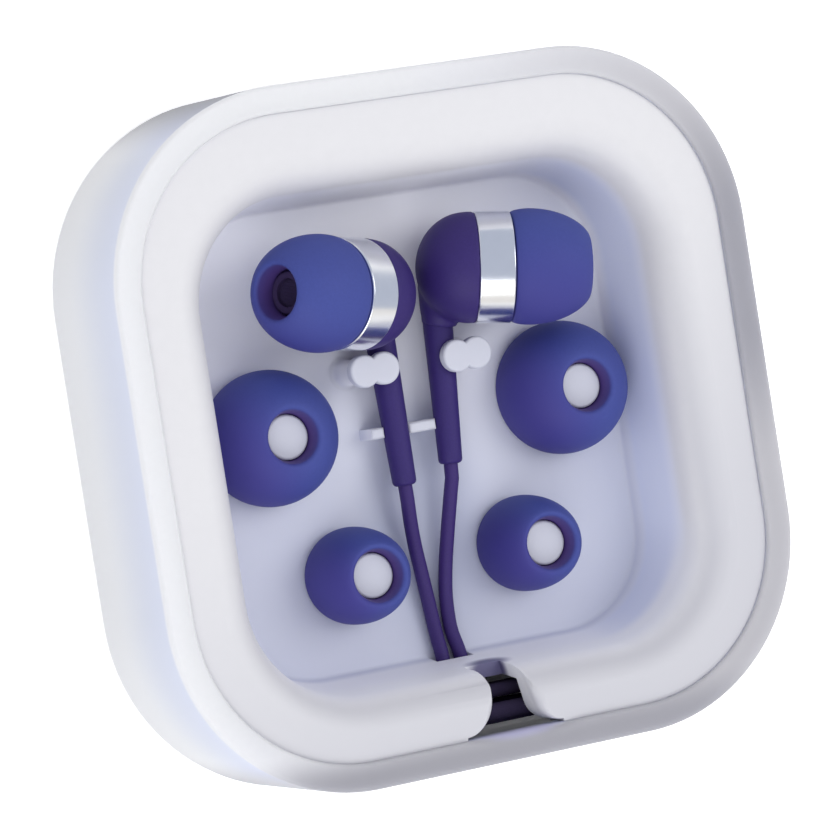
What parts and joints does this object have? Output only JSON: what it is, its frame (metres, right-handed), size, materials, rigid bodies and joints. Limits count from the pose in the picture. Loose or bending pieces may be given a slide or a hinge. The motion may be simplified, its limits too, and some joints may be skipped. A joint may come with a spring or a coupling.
{
  "type": "wired earphones",
  "caption": "In-ear wired earphones with polished metal rings, wound on the tray of a frosted square travel case with spare ear tips on pegs.",
  "frame": {"origin": "middle of the case's flat back, on which it lies", "axes": "+Z out of the open front, +Y towards the earphones, +X to the right as seen from the front"},
  "size_m": [0.065, 0.065, 0.0186],
  "materials": {
    "frosted_case": "frosted, milky and slightly blue",
    "tray_plastic": "milky, softly glossy",
    "tip_silicone": "smooth indigo silicone",
    "housing_plastic": "dark violet, semi-gloss",
    "cord_jacket": "dark violet, satin",
    "ring_metal": "polished",
    "screen_steel": "fine perforated",
    "driver_steel": "pressed steel",
    "magnet_plating": "nickel-plated",
    "coil_copper": "enamelled copper",
    "diaphragm_film": "thin film",
    "contact_metal": "plated",
    "black_plastic": "moulded"
  },
  "bodies": {
    "case": {"outer_case": "frosted_case"},
    "tray_set": {"tray": "tray_plastic", "cord_splitter": "cord_jacket", "cord_main": "cord_jacket", "plug_body": "housing_plastic", "plug_sleeve": "contact_metal", "plug_ring": "contact_metal", "plug_tip": "contact_metal", "plug_insulators": "black_plastic", "ear_tip_left": "tip_silicone", "front_housing_left": "housing_plastic", "rear_housing_left": "housing_plastic", "nozzle_screen_left": "screen_steel", "metal_ring_left": "ring_metal", "driver_frame_left": "driver_steel", "driver_yoke_left": "driver_steel", "driver_plate_left": "driver_steel", "driver_magnet_left": "magnet_plating", "voice_coil_left": "coil_copper", "diaphragm_left": "diaphragm_film", "strain_relief_left": "cord_jacket", "cord_left": "cord_jacket", "ear_tip_right": "tip_silicone", "front_housing_right": "housing_plastic", "rear_housing_right": "housing_plastic", "nozzle_screen_right": "screen_steel", "metal_ring_right": "ring_metal", "driver_frame_right": "driver_steel", "driver_yoke_right": "driver_steel", "driver_plate_right": "driver_steel", "driver_magnet_right": "magnet_plating", "voice_coil_right": "coil_copper", "diaphragm_right": "diaphragm_film", "strain_relief_right": "cord_jacket", "cord_right": "cord_jacket"},
    "spare_tip_large_left": {"spare_tip_large_left": "tip_silicone"},
    "spare_tip_large_right": {"spare_tip_large_right": "tip_silicone"},
    "spare_tip_small_left": {"spare_tip_small_left": "tip_silicone"},
    "spare_tip_small_right": {"spare_tip_small_right": "tip_silicone"}
  },
  "joints": [
    {"name": "tray_lift", "type": "slide", "parent": "case", "child": "tray_set", "axis": [0, 0, 1], "range_m": [0, 0.022]},
    {"name": "spare_tip_large_left_pull", "type": "slide", "parent": "tray_set", "child": "spare_tip_large_left", "axis": [0, 0, 1], "range_m": [0, 0.009]},
    {"name": "spare_tip_large_right_pull", "type": "slide", "parent": "tray_set", "child": "spare_tip_large_right", "axis": [0, 0, 1], "range_m": [0, 0.009]},
    {"name": "spare_tip_small_left_pull", "type": "slide", "parent": "tray_set", "child": "spare_tip_small_left", "axis": [0, 0, 1], "range_m": [0, 0.009]},
    {"name": "spare_tip_small_right_pull", "type": "slide", "parent": "tray_set", "child": "spare_tip_small_right", "axis": [0, 0, 1], "range_m": [0, 0.009]}
  ]
}
